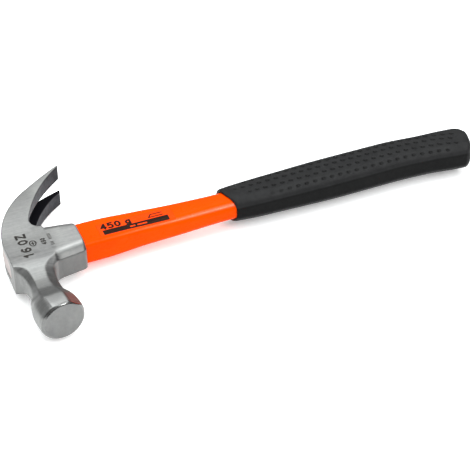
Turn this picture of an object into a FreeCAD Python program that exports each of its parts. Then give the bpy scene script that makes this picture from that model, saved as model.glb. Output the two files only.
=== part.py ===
import FreeCAD, Part
import math
import os

# Claw hammer, 16 oz class, lying on its side. Millimetres.
# X runs from the top of the head along the handle to the butt, Y from the striking
# face to the claw tips, Z up through the cheeks. The design axes have X = 0 on the
# top of the head, Y = 0 on the handle's centre line and Z = 0 on the middle plane.
# Every exported solid is shifted so that the origin is the bottom centre of the
# whole tool's bounding box.

import Sketcher

os.makedirs("parts", exist_ok=True)
doc = FreeCAD.newDocument("claw_hammer")
V = FreeCAD.Vector

# ---------------------------------------------------------------- the dimensions
sheet = doc.addObject("Spreadsheet::Sheet", "dims")
SIZES = [
    # head: block, claw and thickness
    ("headtop_x", 0.0), ("block_y0", -15.8), ("arc_y0", 2.0),
    ("claw_r", 58.0), ("claw_bx", 28.8), ("claw_by", 51.6), ("claw_r2", 260.0),
    ("tip_x", 55.5), ("tip_y", 67.2), ("tipin_x", 54.9), ("tipin_y", 65.4),
    ("under_r", 92.0), ("root_x", 22.6), ("root_y", 24.5), ("root_r", 6.9),
    ("root2_x", 28.2), ("root2_y", 15.4), ("block_x1", 26.5),
    ("cheek_hz", 11.6), ("flare_y", 12.0), ("flare_y1", 68.0), ("flare_hz", 16.65),
    # nail slot: position and direction of its inner end, half widths at two levels
    ("slot_x", 29.5), ("slot_y", 52.3), ("slot_lvl0", -1.2), ("slot_lvl1", 14.0),
    ("slot_u0", 1.4), ("slot_g0", 0.35), ("slot_u1", 34.0), ("slot_g1", 4.5),
    ("slot_v0", -16.0), ("slot_k0", 6.6), ("slot_v1", 34.0), ("slot_k1", 13.6),
    # neck and bell
    # the poll's axis leans towards the handle; the bell is measured back from the face
    ("poll_tilt", 7.5), ("face_x", 17.6), ("face_y", -62.9), ("face_r", 12.4),
    ("rim_s", 1.9), ("rim_r", 14.5), ("bell_s1", 5.0), ("bell_r1", 14.8), ("bell_s2", 11.0), ("bell_r2", 14.7),
    ("bell_s3", 15.5), ("bell_r3", 14.2), ("bell_s4", 19.5), ("bell_r4", 13.2), ("bell_s5", 29.0), ("bell_r5", 24.0),
    ("bell_s6", 50.0),
    # collar sections along X
    ("col_x0", 12.0), ("col_x1", 31.0), ("col_x2", 46.6), ("col_x3", 48.7),
    ("col_c", 0.45), ("col_hy0", 18.2), ("col_hy1", 17.1), ("col_hy2", 14.8), ("col_hy3", 14.0),
    ("col_hz0", 11.6), ("col_hz1", 11.6), ("col_hz2", 11.6), ("col_hz3", 10.8),
    ("col_r", 4.0), ("col_r3", 3.4),
    # eye through the block
    ("axis_y", 1.2), ("eye_hy", 10.0), ("eye_hz", 7.0), ("eye_r", 6.0), ("eye_x0", -2.0),
    # handle core, a pultruded rod
    ("core_x0", 1.6), ("core_x1", 318.0), ("core_hy", 6.3), ("core_hz", 4.8), ("core_r", 4.2),
    ("resin_x0", 0.5),
    # moulded jacket sections
    ("jac_x0", 30.0), ("jac_x1", 60.0), ("jac_x2", 89.0), ("jac_x3", 115.0), ("jac_x4", 147.0),
    ("jac_c1", 1.8), ("jac_c2", 1.75), ("jac_c3", 1.1), ("jac_c4", 1.15),
    ("jac_hy1", 11.6), ("jac_hy2", 10.6), ("jac_hy3", 9.9), ("jac_hy4", 9.3),
    ("jac_hz1", 8.7), ("jac_hz2", 8.35), ("jac_hz3", 8.1), ("jac_hz4", 7.9),
    ("jac_r1", 3.0), ("jac_r2", 4.3), ("jac_r3", 5.4), ("jac_r4", 6.4),
    ("ten_hy", 8.1), ("ten_hz", 6.7), ("ten_r", 5.4), ("ten_x1", 323.0),
    # label film on the jacket's upper face
    ("lab_x0", 60.5), ("lab_x1", 111.5), ("lab_y0", -6.8), ("lab_y1", 5.6), ("lab_th", 0.15),
    # grip sections: station, centre offset in Y, half height, half thickness, corner
    ("grip_x1", 145.0), ("grip_c1", 1.75), ("grip_hy1", 11.25), ("grip_hz1", 9.5), ("grip_r1", 7.1),
    ("grip_x2", 191.0), ("grip_c2", 1.81), ("grip_hy2", 13.29), ("grip_hz2", 10.1), ("grip_r2", 7.1),
    ("grip_x3", 229.0), ("grip_c3", 1.8), ("grip_hy3", 14.1), ("grip_hz3", 10.4), ("grip_r3", 7.0),
    ("grip_x4", 270.0), ("grip_c4", 2.05), ("grip_hy4", 13.95), ("grip_hz4", 10.4), ("grip_r4", 7.0),
    ("grip_x5", 297.0), ("grip_c5", 0.47), ("grip_hy5", 13.73), ("grip_hz5", 10.2), ("grip_r5", 7.0),
    ("grip_x6", 315.0), ("grip_c6", -1.04), ("grip_hy6", 14.34), ("grip_hz6", 10.3), ("grip_r6", 7.0),
    ("grip_x7", 338.0), ("grip_c7", -2.45), ("grip_hy7", 14.65), ("grip_hz7", 10.2), ("grip_r7", 7.0),
    ("butt_x", 333.0),
]
for row, (alias, value) in enumerate(SIZES, 1):
    sheet.set("A%d" % row, alias)
    sheet.set("B%d" % row, repr(value))
    sheet.setAlias("B%d" % row, alias)
doc.recompute()


def val(alias):
    """The present value of one cell of the sheet."""
    return float(getattr(sheet, alias))


def num(expression):
    """Value of a small expression of sheet cells, for the first drawing of a sketch."""
    total = 0.0
    for term in expression.replace("-", "+-").split("+"):
        term = term.strip()
        if not term:
            continue
        sign = -1.0 if term.startswith("-") else 1.0
        term = term.lstrip("-").strip()
        total += sign * (val(term[5:]) if term.startswith("dims.") else float(term))
    return total


def outline(name, points, arcs, plane, shift):
    """A closed sketch. points holds (x, y) expressions, arcs maps an edge's number to
    (radius expression, side), where side is 1 if the centre is left of the edge.
    shift binds the sketch's Placement.Base.* to expressions."""
    sk = doc.addObject("Sketcher::SketchObject", name)
    sk.Placement = plane
    xy = [(num(a), num(b)) for a, b in points]
    n = len(xy)
    edges = []
    for i in range(n):
        p, q = xy[i], xy[(i + 1) % n]
        if i in arcs:
            rad, side = num(arcs[i][0]), arcs[i][1]
            dx, dy = q[0] - p[0], q[1] - p[1]
            d = math.hypot(dx, dy)
            off = math.sqrt(max(rad * rad - d * d / 4.0, 0.0))
            cx = (p[0] + q[0]) / 2.0 - side * dy / d * off
            cy = (p[1] + q[1]) / 2.0 + side * dx / d * off
            a0 = math.atan2(p[1] - cy, p[0] - cx)
            a1 = math.atan2(q[1] - cy, q[0] - cx)
            circle = Part.Circle(V(cx, cy, 0), V(0, 0, 1), rad)
            # an arc is stored counter-clockwise, so one with its centre on the
            # right of the edge runs from the edge's end to its start
            if side > 0:
                sk.addGeometry(Part.ArcOfCircle(circle, a0, a1 if a1 > a0 else a1 + 2 * math.pi))
                edges.append((1, 2))
            else:
                sk.addGeometry(Part.ArcOfCircle(circle, a1, a0 if a0 > a1 else a0 + 2 * math.pi))
                edges.append((2, 1))
        else:
            sk.addGeometry(Part.LineSegment(V(p[0], p[1], 0), V(q[0], q[1], 0)))
            edges.append((1, 2))
    bind = []
    for i in range(n):
        j = (i + 1) % n
        sk.addConstraint(Sketcher.Constraint("Coincident", i, edges[i][1], j, edges[j][0]))
    for i in range(n):
        kx = sk.addConstraint(Sketcher.Constraint("DistanceX", i, edges[i][0], xy[i][0]))
        ky = sk.addConstraint(Sketcher.Constraint("DistanceY", i, edges[i][0], xy[i][1]))
        bind += [(kx, points[i][0]), (ky, points[i][1])]
    for i, (rad, side) in arcs.items():
        bind.append((sk.addConstraint(Sketcher.Constraint("Radius", i, num(rad))), rad))
    for k, expression in bind:
        sk.setExpression("Constraints[%d]" % k, expression)
    for key, expression in shift.items():
        sk.setExpression("Placement.Base." + key, expression)
    return sk


ACROSS = FreeCAD.Placement(V(0, 0, 0), FreeCAD.Rotation(V(1, 1, 1), 120))  # Y, Z plane
FACING = FreeCAD.Placement(V(0, 0, 0), FreeCAD.Rotation(V(1, 0, 0), 90))   # X, Z plane
FLAT = FreeCAD.Placement()


def rounded(name, station, cy, hy, hz, r):
    """A rounded rectangle across the handle at one station."""
    d = "dims."
    left, right = d + cy + " - " + d + hy if cy else "-" + d + hy, (d + cy + " + " if cy else "") + d + hy
    li, ri = left + " + " + d + r, right + " - " + d + r
    lo, hi = "-" + d + hz, d + hz
    loi, hii = lo + " + " + d + r, hi + " - " + d + r
    pts = [(li, lo), (ri, lo), (right, loi), (right, hii), (ri, hi), (li, hi), (left, hii), (left, loi)]
    arcs = {k: (d + r, 1) for k in (1, 3, 5, 7)}
    return outline(name, pts, arcs, ACROSS, {"x": d + station})


def loft(name, sections, ruled):
    """A solid through the sections."""
    o = doc.addObject("Part::Loft", name)
    o.Sections = sections
    o.Solid = True
    o.Ruled = ruled
    return o


def extrude(name, base, direction, forward, backward=None):
    """A prism of a sketch."""
    o = doc.addObject("Part::Extrusion", name)
    o.Base = base
    o.DirMode = "Custom"
    o.Dir = direction
    o.Solid = True
    o.setExpression("LengthFwd", forward)
    if backward:
        o.setExpression("LengthRev", backward)
    return o


def fuse(name, shapes):
    o = doc.addObject("Part::MultiFuse", name)
    o.Shapes = shapes
    o.Refine = True
    return o


def common(name, shapes):
    o = doc.addObject("Part::MultiCommon", name)
    o.Shapes = shapes
    return o


def cut(name, base, tool):
    o = doc.addObject("Part::Cut", name)
    o.Base = base
    o.Tool = tool
    return o


# ------------------------------------------------------------------- hammer head
# Plan of the eye block and claw: a long convex arc outside, a concave arc under the
# claw and a tight fillet where the claw's underside turns into the collar.
plan = outline(
    "plan_outline",
    [("dims.headtop_x", "dims.block_y0"), ("dims.block_x1", "dims.block_y0"),
     ("dims.root2_x", "dims.root2_y"), ("dims.root_x", "dims.root_y"),
     ("dims.tipin_x", "dims.tipin_y"), ("dims.tip_x", "dims.tip_y"),
     ("dims.claw_bx", "dims.claw_by"), ("dims.headtop_x", "dims.arc_y0")],
    {2: ("dims.root_r", -1), 3: ("dims.under_r", -1), 5: ("dims.claw_r2", 1), 6: ("dims.claw_r", 1)},
    FLAT, {})
plan_solid = extrude("plan_solid", plan, V(0, 0, 1), "dims.flare_hz + 2", "dims.flare_hz + 2")
# Side to side the block is parallel and the claw flares towards its tips.
width = outline(
    "width_outline",
    [("dims.block_y0 - 2", "-dims.cheek_hz"), ("dims.flare_y", "-dims.cheek_hz"),
     ("dims.flare_y1", "-dims.flare_hz"), ("dims.flare_y1", "dims.flare_hz"),
     ("dims.flare_y", "dims.cheek_hz"), ("dims.block_y0 - 2", "dims.cheek_hz")],
    {}, ACROSS, {"x": "dims.headtop_x - 2"})
width_solid = extrude("width_solid", width, V(1, 0, 0), "dims.tip_x + 6")
block = common("claw_block", [plan_solid, width_solid])

# The collar is the socket's outside: a tapered rounded bar towards the handle.
col = [rounded("collar_s%d" % i, "col_x%d" % i, "col_c", "col_hy%d" % i, "col_hz%d" % i,
               "col_r3" if i == 3 else "col_r") for i in range(4)]
collar = loft("collar_bar", col, True)


# Neck stations: name, Y, low X, high X, half thickness, corner cut in X on the head
# top's side, corner cut in X on the handle's side, corner cut in Z
NECK = [
    ("n0", -14.0, 0.2, 27.0, 11.4, 2.6, 2.0, 2.6), ("n1", -18.0, 2.4, 25.6, 10.9, 4.2, 4.8, 3.2),
    ("n2", -23.0, 4.4, 24.6, 10.1, 4.3, 6.3, 3.8), ("n3", -31.0, 5.3, 24.2, 9.3, 3.9, 6.5, 4.3),
    ("n4", -39.0, 4.6, 24.9, 9.7, 4.3, 6.3, 4.6), ("n5", -45.0, 2.2, 28.0, 11.2, 6.6, 7.7, 5.8),
    ("n6", -52.0, 1.1, 30.3, 13.2, 7.6, 9.2, 7.3), ("n7", -60.0, 2.2, 31.4, 14.2, 7.8, 9.9, 8.0),
    ("n8", -66.5, 3.0, 32.2, 14.3, 7.6, 10.1, 8.1),
]
row = len(SIZES) + 1
for station in NECK:
    for key, value in zip(("y", "lo", "up", "hz", "cl", "cu", "cz"), station[1:]):
        sheet.set("A%d" % row, "neck_%s_%s" % (station[0], key))
        sheet.set("B%d" % row, repr(value))
        sheet.setAlias("B%d" % row, "neck_%s_%s" % (station[0], key))
        row += 1
doc.recompute()
necks = []
for station in NECK:
    k = "dims.neck_%s_" % station[0]
    lo, up, h, cl, cu, cz = k + "lo", k + "up", k + "hz", k + "cl", k + "cu", k + "cz"
    necks.append(outline(
        "neck_" + station[0],
        [(lo + " + " + cl, "-" + h), (up + " - " + cu, "-" + h), (up, "-" + h + " + " + cz),
         (up, h + " - " + cz), (up + " - " + cu, h), (lo + " + " + cl, h),
         (lo, h + " - " + cz), (lo, "-" + h + " + " + cz)],
        {}, FACING, {"y": k + "y"}))
faceted = loft("neck_faceted", necks, False)
# The bell is turned: its profile, spun about the poll's axis, trims the facets round.
bell = outline(
    "bell_outline",
    [("0", "0"), ("dims.face_r", "0"), ("dims.rim_r", "dims.rim_s"), ("dims.bell_r1", "dims.bell_s1"),
     ("dims.bell_r2", "dims.bell_s2"), ("dims.bell_r3", "dims.bell_s3"), ("dims.bell_r4", "dims.bell_s4"),
     ("dims.bell_r5", "dims.bell_s5"), ("dims.bell_r5", "dims.bell_s6"), ("0", "dims.bell_s6")],
    {}, FLAT, {})
turned = doc.addObject("Part::Revolution", "bell_turned")
turned.Source = bell
turned.Axis = V(0, 1, 0)
turned.Angle = 360
turned.Solid = True
turned.Placement = FreeCAD.Placement(V(0, 0, 0), FreeCAD.Rotation(V(0, 0, 1), val("poll_tilt")))
turned.setExpression("Placement.Base.x", "dims.face_x")
turned.setExpression("Placement.Base.y", "dims.face_y")
poll = common("poll", [faceted, turned])

# The nail slot: narrow on the claw's convex side and flared on its concave side.
c30, s30 = math.cos(math.radians(30.0)), math.sin(math.radians(30.0))
SLOT = FreeCAD.Placement(V(0, 0, 0), FreeCAD.Rotation(V(c30, s30, 0), V(0, 0, 1), V(s30, -c30, 0), "ZXY"))


def slot_section(name, level, a, ga, b, gb):
    return outline(
        name, [(a, "-" + ga), (b, "-" + gb), (b, gb), (a, ga)], {}, SLOT,
        {"x": "dims.slot_x + %s * %.9f" % (level, s30), "y": "dims.slot_y - %s * %.9f" % (level, c30)})


slot = loft("slot_cutter", [
    slot_section("slot_outer", "dims.slot_lvl0", "dims.slot_u0", "dims.slot_g0", "dims.slot_u1", "dims.slot_g1"),
    slot_section("slot_inner", "dims.slot_lvl1", "dims.slot_v0", "dims.slot_k0", "dims.slot_v1", "dims.slot_k1")],
    True)
# The eye and the jacket's socket, both along the handle.
eye = extrude("eye_cutter", rounded("eye_s", "eye_x0", "axis_y", "eye_hy", "eye_hz", "eye_r"),
              V(1, 0, 0), "dims.jac_x0 - dims.eye_x0")
socket = extrude("socket_cutter", rounded("socket_s", "jac_x0", "jac_c1", "jac_hy1", "jac_hz1", "jac_r1"),
                 V(1, 0, 0), "dims.jac_x1 - dims.jac_x0")
head_blank = fuse("head_blank", [block, collar, poll])
head_slotted = cut("head_slotted", head_blank, slot)
head = cut("head_finished", head_slotted, fuse("head_holes", [eye, socket]))

# --------------------------------------------------------------------- handle core
core = extrude("core_bar", rounded("core_s", "core_x0", "axis_y", "core_hy", "core_hz", "core_r"),
               V(1, 0, 0), "dims.core_x1 - dims.core_x0")

# ------------------------------------------------------------- resin around the core
resin = cut("resin_plug", extrude(
    "resin_bar", rounded("resin_s", "resin_x0", "axis_y", "eye_hy", "eye_hz", "eye_r"),
    V(1, 0, 0), "dims.jac_x0 - dims.resin_x0"), core)

# ------------------------------------------------------------------ moulded jacket
jac_front = extrude("jacket_front", rounded("jacket_s0", "jac_x0", "jac_c1", "jac_hy1", "jac_hz1", "jac_r1"),
                    V(1, 0, 0), "dims.jac_x1 - dims.jac_x0")
jac_sections = [rounded("jacket_s%d" % i, "jac_x%d" % i, "jac_c%d" % i, "jac_hy%d" % i, "jac_hz%d" % i, "jac_r%d" % i)
                for i in (1, 2, 3, 4)]
jac_taper = loft("jacket_taper", jac_sections, False)
tenon = extrude("jacket_tenon", rounded("tenon_s", "jac_x4", "axis_y", "ten_hy", "ten_hz", "ten_r"),
                V(1, 0, 0), "dims.ten_x1 - dims.jac_x4")
# the full section carries on a little way under the grip's front lip
jac_lip = extrude("jacket_under_lip", jac_sections[-1], V(1, 0, 0), "13 mm")
jacket = cut("jacket_finished", fuse("jacket_blank", [jac_front, jac_taper, jac_lip, tenon]), core)

# ---------------------------------------------------------------------- label film
film_sections = []
for i in (1, 2, 3, 4):
    for key, base in (("hy", "jac_hy%d" % i), ("hz", "jac_hz%d" % i), ("r", "jac_r%d" % i)):
        sheet.set("A%d" % row, "film_%s%d" % (key, i))
        sheet.set("B%d" % row, "=%s + lab_th" % base)
        sheet.setAlias("B%d" % row, "film_%s%d" % (key, i))
        row += 1
doc.recompute()
film_sections = [rounded("film_s%d" % i, "jac_x%d" % i, "jac_c%d" % i, "film_hy%d" % i, "film_hz%d" % i, "film_r%d" % i)
                 for i in (1, 2, 3, 4)]
film_skin = loft("film_skin", film_sections, False)
patch = doc.addObject("Part::Box", "film_patch")
for key, expression in (("Length", "dims.lab_x1 - dims.lab_x0"), ("Width", "dims.lab_y1 - dims.lab_y0"),
                        ("Height", "20 mm"), ("Placement.Base.x", "dims.lab_x0"), ("Placement.Base.y", "dims.lab_y0")):
    patch.setExpression(key, expression)
film = cut("film_finished", common("film_blank", [film_skin, patch]), jac_taper)

# --------------------------------------------------------------------- rubber grip
gs = [rounded("grip_s%d" % i, "grip_x%d" % i, "grip_c%d" % i, "grip_hy%d" % i, "grip_hz%d" % i, "grip_r%d" % i)
      for i in range(1, 8)]
grip_body = loft("grip_body", gs, False)
# Seen from above, the front lip runs back on the striking side and the butt is bowed.
grip_plan = outline(
    "grip_plan",
    [("147", "24"), ("147.8", "7"), ("149.2", "2"), ("151.6", "-4.5"), ("153.8", "-9.5"), ("155.4", "-12"), ("156", "-24"),
     ("322.5", "-24"), ("327.5", "-15.5"), ("330.4", "-10.5"), ("dims.butt_x - 1.1", "-5"), ("dims.butt_x", "-1"),
     ("dims.butt_x", "2.5"), ("dims.butt_x - 1.8", "6.5"), ("327", "10.2"), ("320", "13"), ("313", "24")],
    {}, FLAT, {})
grip_trim = extrude("grip_trim", grip_plan, V(0, 0, 1), "20 mm", "20 mm")
UPRIGHT = FreeCAD.Placement(V(0, 0, 0), FreeCAD.Rotation(V(1, 0, 0), 90))
grip_side = outline(
    "grip_side",
    [("140", "-14"), ("324", "-14"), ("329", "-10"), ("331.6", "-8"), ("dims.butt_x", "-5.5"),
     ("dims.butt_x", "5.5"), ("331.6", "8"), ("329", "10"), ("324", "14"), ("140", "14")],
    {}, UPRIGHT, {})
grip_round = extrude("grip_round", grip_side, V(0, 1, 0), "30 mm", "30 mm")
grip = cut("grip_finished", common("grip_blank", [grip_body, grip_trim, grip_round]),
           fuse("grip_bore", [jac_lip, tenon]))

doc.recompute()

# ------------------------------------------------------------------ named solids
PARTS = [
    ("hammer_head", head), ("shaft_core", core), ("eye_resin", resin),
    ("shaft_jacket", jacket), ("label_film", film), ("grip_sleeve", grip),
]
for name, source in PARTS:
    if source.Shape.isNull() or not source.Shape.isValid():
        print("note:", name, "source is not valid before placing")
box = FreeCAD.BoundBox()
for name, source in PARTS:
    box.add(source.Shape.optimalBoundingBox(False, False))
print("box", box)
shift = V(-(box.XMin + box.XMax) / 2.0, -(box.YMin + box.YMax) / 2.0, -box.ZMin)
print("shift", shift)
exported = []
for name, source in PARTS:
    node = doc.addObject("Part::Refine", name)
    node.Source = source
    node.Label = name
    node.Placement = FreeCAD.Placement(shift, FreeCAD.Rotation())
    exported.append(node)
doc.recompute()
for o in doc.Objects:
    if "Invalid" in o.State or "Error" in o.State:
        raise RuntimeError("%s is in state %s" % (o.Name, o.State))
for node in exported:
    shape = node.Shape
    if shape.isNull() or not shape.isValid() or len(shape.Solids) != 1:
        raise RuntimeError("%s has a bad shape: %d solids" % (node.Label, len(shape.Solids)))
    print("%-14s volume %9.1f mm3  box %s" % (node.Label, shape.Volume, shape.BoundBox))
    shape.exportStep("parts/%s.step" % node.Label)
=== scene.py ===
import math
import bpy
import numpy as np
from mathutils import Matrix, Vector


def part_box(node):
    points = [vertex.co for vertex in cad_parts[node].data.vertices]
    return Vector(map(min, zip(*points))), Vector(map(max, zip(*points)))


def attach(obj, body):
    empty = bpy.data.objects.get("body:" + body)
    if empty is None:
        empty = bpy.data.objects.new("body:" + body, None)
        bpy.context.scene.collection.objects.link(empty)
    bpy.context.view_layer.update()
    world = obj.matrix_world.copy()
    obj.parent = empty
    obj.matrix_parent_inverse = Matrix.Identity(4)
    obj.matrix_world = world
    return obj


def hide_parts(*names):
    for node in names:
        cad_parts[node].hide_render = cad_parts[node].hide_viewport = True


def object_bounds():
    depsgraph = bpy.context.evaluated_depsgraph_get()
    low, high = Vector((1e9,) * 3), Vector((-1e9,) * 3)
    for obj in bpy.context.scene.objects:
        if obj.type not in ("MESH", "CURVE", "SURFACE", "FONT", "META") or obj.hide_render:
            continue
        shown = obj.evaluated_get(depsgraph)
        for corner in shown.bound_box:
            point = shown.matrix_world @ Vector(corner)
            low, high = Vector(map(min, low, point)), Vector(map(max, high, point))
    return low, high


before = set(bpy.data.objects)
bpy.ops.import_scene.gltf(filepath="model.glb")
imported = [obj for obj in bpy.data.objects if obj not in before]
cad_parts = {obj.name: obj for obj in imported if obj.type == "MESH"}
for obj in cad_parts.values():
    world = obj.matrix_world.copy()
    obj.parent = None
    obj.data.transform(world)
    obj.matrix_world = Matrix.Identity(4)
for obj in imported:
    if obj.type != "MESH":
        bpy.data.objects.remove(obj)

cad_lo, cad_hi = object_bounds()
scene = bpy.context.scene

# The CAD design axes in millimetres: X = 0 on the head's top, Y = 0 on the handle's
# centre line, Z = 0 on the middle plane. OFF takes them to the row frame.
_hl, _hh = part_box("hammer_head")
OFF = np.array([_hl.x * 1000.0, _hh.y * 1000.0 - 67.2, (_hl.z + _hh.z) * 500.0])


def to_row(v):
    return (np.asarray(v, float) + OFF) / 1000.0


# ------------------------------------------------------------------ camera
R_ = np.array([0.918, -0.397, 0.006])
F_ = np.array([0.308, 0.703, -0.640])
F_ /= np.linalg.norm(F_)
R_ -= F_ * (R_ @ F_)
R_ /= np.linalg.norm(R_)
U_ = np.cross(R_, F_)
cam_data = bpy.data.cameras.new("camera")
cam = bpy.data.objects.new("camera", cam_data)
scene.collection.objects.link(cam)
cam_data.sensor_fit = "HORIZONTAL"
cam_data.sensor_width = 36.0
cam_data.lens = 36.0 * 1366.0 / 470.0
cam_data.clip_start, cam_data.clip_end = 0.02, 20.0
m = Matrix.Identity(4)
for i in range(3):
    m[i][0], m[i][1], m[i][2] = R_[i], U_[i], -F_[i]
c = to_row([-128.0, -648.0, 564.0])
m[0][3], m[1][3], m[2][3] = c
cam.matrix_world = m
scene.camera = cam


# ------------------------------------------------------------------ helpers
def smin(a, b, k):
    h = np.maximum(k - np.abs(a - b), 0.0) / k
    return np.minimum(a, b) - h * h * (k * 0.25)


def smax(a, b, k):
    h = np.maximum(k - np.abs(a - b), 0.0) / k
    return np.maximum(a, b) + h * h * (k * 0.25)


def smooth(t):
    t = np.clip(t, 0.0, 1.0)
    return t * t * (3.0 - 2.0 * t)


def pchip(x, xs, ys):
    """Monotone cubic through the stations."""
    xs, ys, x = np.asarray(xs, float), np.asarray(ys, float), np.asarray(x, float)
    h, d = np.diff(xs), np.diff(ys) / np.diff(xs)
    mk = np.zeros(len(xs))
    mk[0], mk[-1] = d[0], d[-1]
    for i in range(1, len(xs) - 1):
        if d[i - 1] * d[i] > 0:
            w1, w2 = 2 * h[i] + h[i - 1], h[i] + 2 * h[i - 1]
            mk[i] = (w1 + w2) / (w1 / d[i - 1] + w2 / d[i])
    i = np.clip(np.searchsorted(xs, x) - 1, 0, len(h) - 1)
    t = np.clip((x - xs[i]) / h[i], 0, 1)
    return ((1 + 2 * t) * (1 - t) ** 2 * ys[i] + t * (1 - t) ** 2 * h[i] * mk[i]
            + t * t * (3 - 2 * t) * ys[i + 1] + t * t * (t - 1) * h[i] * mk[i + 1])


def arc(p, q, rad, side, n):
    """Points from p to q on an arc, centre to the left of the chord if side is 1."""
    p, q = np.array(p, float), np.array(q, float)
    d = q - p
    L = np.hypot(*d)
    off = math.sqrt(max(rad * rad - L * L / 4, 0))
    cc = (p + q) / 2 + side * off * np.array([-d[1], d[0]]) / L
    a0 = math.atan2(p[1] - cc[1], p[0] - cc[0])
    a1 = math.atan2(q[1] - cc[1], q[0] - cc[0])
    if side > 0 and a1 < a0:
        a1 += 2 * math.pi
    if side < 0 and a1 > a0:
        a1 -= 2 * math.pi
    a = np.linspace(a0, a1, n + 1)[:-1]
    return np.c_[cc[0] + rad * np.cos(a), cc[1] + rad * np.sin(a)]


def seg_dist(px, py, ax, ay, bx, by):
    dx, dy = bx - ax, by - ay
    t = np.clip(((px - ax) * dx + (py - ay) * dy) / (dx * dx + dy * dy + 1e-12), 0, 1)
    return np.hypot(px - ax - t * dx, py - ay - t * dy)


def poly_sdf(px, py, poly):
    """Signed distance to a closed polygon, negative inside."""
    d = np.full(px.shape, 1e9)
    inside = np.zeros(px.shape, bool)
    n = len(poly)
    for i in range(n):
        ax, ay = poly[i]
        bx, by = poly[(i + 1) % n]
        d = np.minimum(d, seg_dist(px, py, ax, ay, bx, by))
        cross = (ay > py) != (by > py)
        if ay != by:
            inside ^= cross & (px < (bx - ax) * (py - ay) / (by - ay) + ax)
    return np.where(inside, -d, d)


def strokes_dist(px, py, strokes):
    """Distance to a set of polylines."""
    d = np.full(px.shape, 1e9)
    for line in strokes:
        for a, b in zip(line[:-1], line[1:]):
            d = np.minimum(d, seg_dist(px, py, a[0], a[1], b[0], b[1]))
    return d


def new_mesh(name, verts, faces, nodes, smooth_shading=True):
    me = bpy.data.meshes.new(name)
    verts = np.asarray(verts, np.float32)
    faces = np.asarray(faces, np.int32)
    me.vertices.add(len(verts))
    me.vertices.foreach_set("co", verts.ravel())
    me.loops.add(faces.size)
    me.loops.foreach_set("vertex_index", faces.ravel())
    me.polygons.add(len(faces))
    w = faces.shape[1]
    me.polygons.foreach_set("loop_start", np.arange(0, faces.size, w, dtype=np.int32))
    me.polygons.foreach_set("loop_total", np.full(len(faces), w, np.int32))
    me.update(calc_edges=True)
    me.validate()
    me.polygons.foreach_set("use_smooth", np.full(len(me.polygons), smooth_shading))
    ob = bpy.data.objects.new(name, me)
    scene.collection.objects.link(ob)
    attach(ob, "root")
    if nodes:
        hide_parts(*nodes)
    return ob


def set_attr(ob, name, values):
    a = ob.data.attributes.new(name, "FLOAT", "POINT")
    a.data.foreach_set("value", np.asarray(values, np.float32))


def surface_nets(F, org, s):
    """Closed quad surface where F = 0."""
    ins = F < 0
    nx, ny, nz = F.shape
    cnt = np.zeros((nx - 1, ny - 1, nz - 1), np.uint8)
    for a in (0, 1):
        for b in (0, 1):
            for cc in (0, 1):
                cnt += ins[a:nx - 1 + a, b:ny - 1 + b, cc:nz - 1 + cc]
    mixed = (cnt > 0) & (cnt < 8)
    del cnt
    idx = np.full(mixed.shape, -1, np.int32)
    ci, cj, ck = np.nonzero(mixed)
    n = len(ci)
    idx[ci, cj, ck] = np.arange(n, dtype=np.int32)
    acc = np.zeros((n, 3))
    num = np.zeros(n)
    for axis in range(3):
        for u in (0, 1):
            for v in (0, 1):
                o = [0, 0, 0]
                o[(axis + 1) % 3], o[(axis + 2) % 3] = u, v
                e = [0, 0, 0]
                e[axis] = 1
                fa = F[ci + o[0], cj + o[1], ck + o[2]]
                fb = F[ci + o[0] + e[0], cj + o[1] + e[1], ck + o[2] + e[2]]
                cross = (fa < 0) != (fb < 0)
                t = np.where(cross, fa / np.where(cross, fa - fb, 1), 0)
                for k in range(3):
                    acc[:, k] += np.where(cross, o[k] + (t if k == axis else 0), 0)
                num += cross
    V = (acc / num[:, None] + np.c_[ci, cj, ck]) * s + org
    quads = []
    for axis in range(3):
        a1, a2 = (axis + 1) % 3, (axis + 2) % 3
        sl0 = [slice(None)] * 3
        sl1 = [slice(None)] * 3
        sl0[axis], sl1[axis] = slice(0, -1), slice(1, None)
        A, B = ins[tuple(sl0)], ins[tuple(sl1)]
        x = np.nonzero(A != B)
        x = [np.asarray(q) for q in x]
        ok = (x[a1] > 0) & (x[a2] > 0) & (x[a1] < F.shape[a1] - 1) & (x[a2] < F.shape[a2] - 1)
        x = [q[ok] for q in x]
        flip = A[x[0], x[1], x[2]]

        def at(d1, d2):
            y = [q.copy() for q in x]
            y[a1] -= d1
            y[a2] -= d2
            return idx[y[0], y[1], y[2]]
        q = np.c_[at(1, 1), at(0, 1), at(0, 0), at(1, 0)]
        q[~flip] = q[~flip][:, ::-1]
        quads.append(q)
    Q = np.concatenate(quads)
    return V, Q[(Q >= 0).all(1)]


# ------------------------------------------------------------------ the head's shape
plan = np.concatenate([
    [(0.0, -15.8), (26.5, -15.8)],
    arc((28.2, 15.4), (22.6, 24.5), 6.9, -1, 16),
    arc((22.6, 24.5), (54.9, 65.4), 92.0, -1, 40),
    [(54.9, 65.4)],
    arc((55.5, 67.2), (28.8, 51.6), 260.0, 1, 16),
    arc((28.8, 51.6), (0.0, 2.0), 58.0, 1, 40),
    [(0.0, 2.0)],
])
under_line = np.concatenate([
    arc((28.2, 15.4), (22.6, 24.5), 6.9, -1, 16),
    arc((22.6, 24.5), (54.9, 65.4), 92.0, -1, 40), [(54.9, 65.4)]])
NY = [-66.5, -60.0, -52.0, -45.0, -39.0, -31.0, -23.0, -18.0, -14.0]
N_LO = [3.0, 2.2, 1.1, 2.2, 4.6, 5.3, 4.4, 2.4, 0.2]
N_UP = [32.2, 31.4, 30.3, 28.0, 24.9, 24.2, 24.6, 25.6, 27.0]
N_HZ = [13.6, 13.5, 12.9, 11.2, 9.7, 9.3, 10.1, 10.9, 11.4]
N_CL = [7.6, 7.8, 7.6, 6.6, 4.3, 3.9, 4.3, 4.2, 2.6]
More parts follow.
